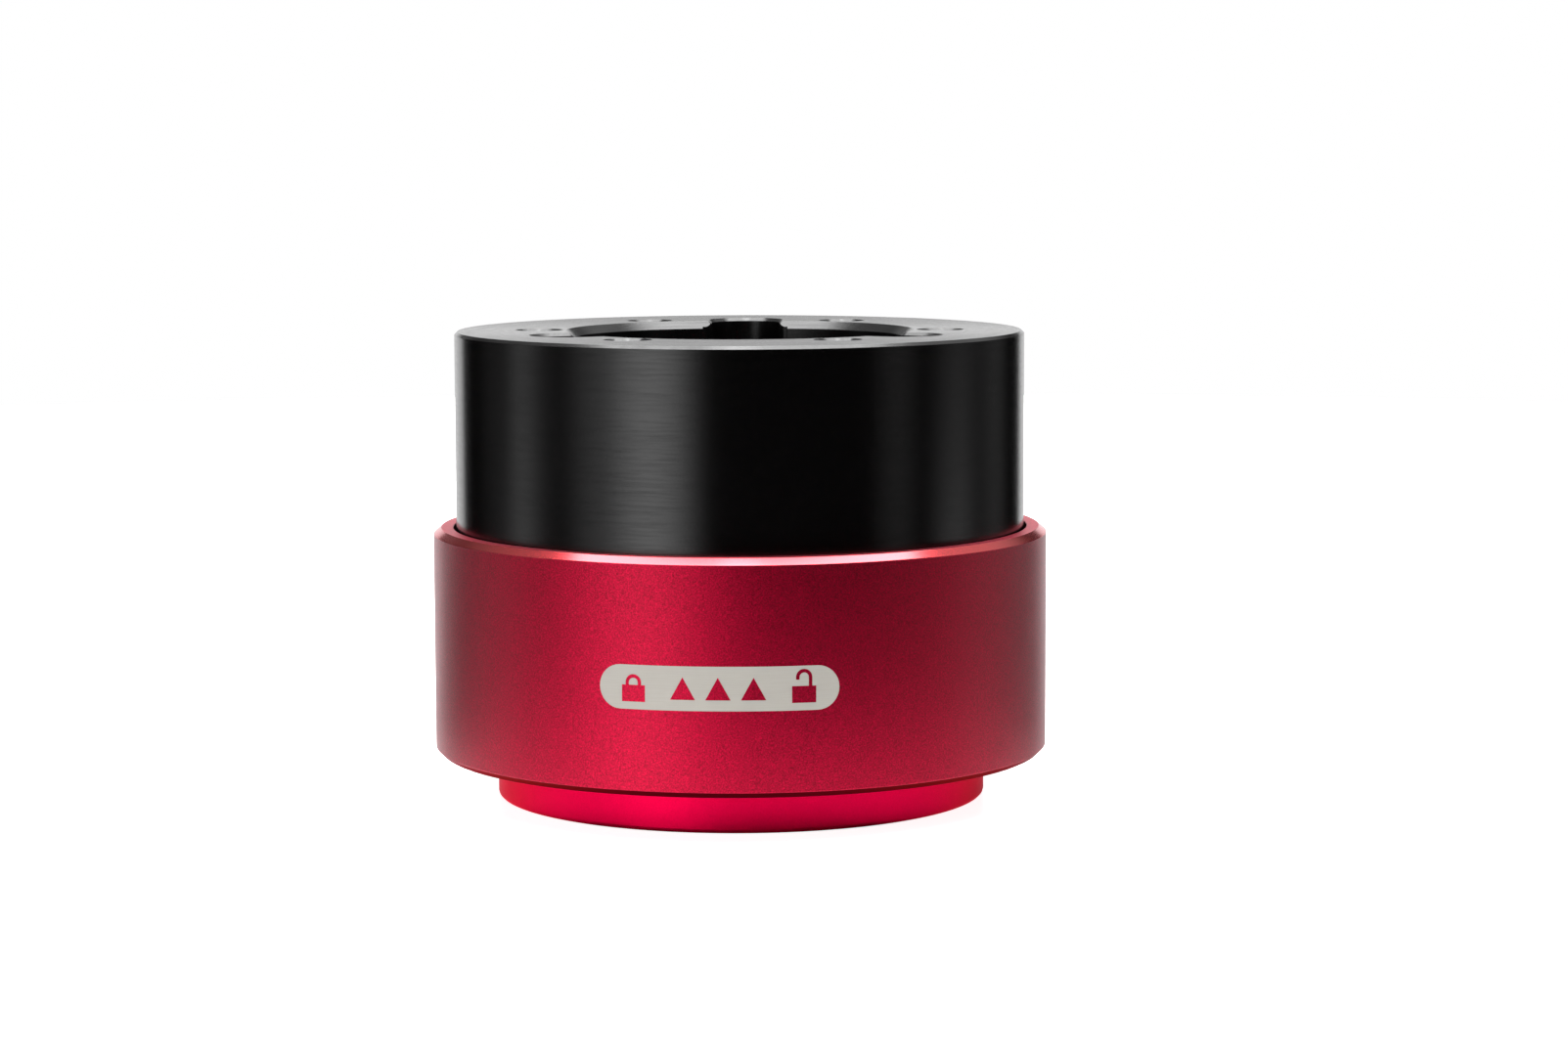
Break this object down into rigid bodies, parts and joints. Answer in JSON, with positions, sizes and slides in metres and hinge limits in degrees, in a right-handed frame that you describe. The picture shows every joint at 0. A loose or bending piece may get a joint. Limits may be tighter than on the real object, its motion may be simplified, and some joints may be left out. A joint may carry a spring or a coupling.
{
  "type": "steering wheel quick release hub",
  "caption": "Turned quick-release hub, wheel side: sliding red collar locks steel balls onto a base shaft; bolt circle in the top face.",
  "frame": {"origin": "centre of the foot's bottom face, on the turning axis", "axes": "+Z along the turning axis from the foot to the wheel's face; +Y through the middle of one pocket; +X through one bolt hole"},
  "size_m": [0.0778, 0.0778, 0.0589],
  "materials": {
    "black_anodised": "fine-turned, black anodised, satin gloss",
    "blasted_red": "bead-blasted, red anodised, fine matte grain, polished chamfer",
    "satin_red": "fine-turned, red anodised, satin",
    "etched_mark": "laser-etched through the red, matte",
    "hard_steel": "ground",
    "ball_steel": "polished",
    "black_steel": "black oxide",
    "spring_steel": "drawn wire",
    "rubber": "matte"
  },
  "bodies": {
    "hub": {"wheel_body": "black_anodised", "inner_sleeve": "satin_red", "spline_ring": "hard_steel", "o_ring": "rubber", "return_spring_1": "spring_steel", "return_spring_2": "spring_steel", "return_spring_3": "spring_steel", "guide_pin_1": "hard_steel", "guide_pin_2": "hard_steel", "guide_pin_3": "hard_steel", "torque_pin_1": "hard_steel", "torque_pin_2": "hard_steel", "torque_pin_3": "hard_steel", "body_screw_1": "black_steel", "body_screw_2": "black_steel", "body_screw_3": "black_steel", "spline_screw_1": "black_steel", "spline_screw_2": "black_steel", "spline_screw_3": "black_steel", "spline_screw_4": "black_steel", "spline_screw_5": "black_steel", "spline_screw_6": "black_steel"},
    "collar": {"lock_collar": "blasted_red"},
    "ball_1": {"lock_ball_1": "ball_steel"},
    "ball_2": {"lock_ball_2": "ball_steel"},
    "ball_3": {"lock_ball_3": "ball_steel"},
    "ball_4": {"lock_ball_4": "ball_steel"},
    "ball_5": {"lock_ball_5": "ball_steel"},
    "ball_6": {"lock_ball_6": "ball_steel"},
    "ball_7": {"lock_ball_7": "ball_steel"},
    "ball_8": {"lock_ball_8": "ball_steel"},
    "ball_9": {"lock_ball_9": "ball_steel"}
  },
  "joints": [
    {"name": "collar_slide", "type": "slide", "parent": "hub", "child": "collar", "axis": [0, 0, 1], "range_m": [0, 0.0065], "stiffness_N_per_m": 7000, "springref_m": -0.003, "deforming": ["return_spring_1", "return_spring_2", "return_spring_3"]},
    {"name": "ball_1_slide", "type": "slide", "parent": "hub", "child": "ball_1", "axis": [0, 1, 0], "range_m": [0, 0.00151]},
    {"name": "ball_2_slide", "type": "slide", "parent": "hub", "child": "ball_2", "axis": [-0.6428, 0.766, 0], "range_m": [0, 0.00151]},
    {"name": "ball_3_slide", "type": "slide", "parent": "hub", "child": "ball_3", "axis": [-0.9848, 0.1736, 0], "range_m": [0, 0.00151]},
    {"name": "ball_4_slide", "type": "slide", "parent": "hub", "child": "ball_4", "axis": [-0.866, -0.5, 0], "range_m": [0, 0.00151]},
    {"name": "ball_5_slide", "type": "slide", "parent": "hub", "child": "ball_5", "axis": [-0.342, -0.9397, 0], "range_m": [0, 0.00151]},
    {"name": "ball_6_slide", "type": "slide", "parent": "hub", "child": "ball_6", "axis": [0.342, -0.9397, 0], "range_m": [0, 0.00151]},
    {"name": "ball_7_slide", "type": "slide", "parent": "hub", "child": "ball_7", "axis": [0.866, -0.5, 0], "range_m": [0, 0.00151]},
    {"name": "ball_8_slide", "type": "slide", "parent": "hub", "child": "ball_8", "axis": [0.9848, 0.1736, 0], "range_m": [0, 0.00151]},
    {"name": "ball_9_slide", "type": "slide", "parent": "hub", "child": "ball_9", "axis": [0.6428, 0.766, 0], "range_m": [0, 0.00151]}
  ],
  "couplings": [
    {"joint": "ball_1_slide", "follows": "collar_slide", "ratio": 0.23077},
    {"joint": "ball_2_slide", "follows": "collar_slide", "ratio": 0.23077},
    {"joint": "ball_3_slide", "follows": "collar_slide", "ratio": 0.23077},
    {"joint": "ball_4_slide", "follows": "collar_slide", "ratio": 0.23077},
    {"joint": "ball_5_slide", "follows": "collar_slide", "ratio": 0.23077},
    {"joint": "ball_6_slide", "follows": "collar_slide", "ratio": 0.23077},
    {"joint": "ball_7_slide", "follows": "collar_slide", "ratio": 0.23077},
    {"joint": "ball_8_slide", "follows": "collar_slide", "ratio": 0.23077},
    {"joint": "ball_9_slide", "follows": "collar_slide", "ratio": 0.23077}
  ]
}
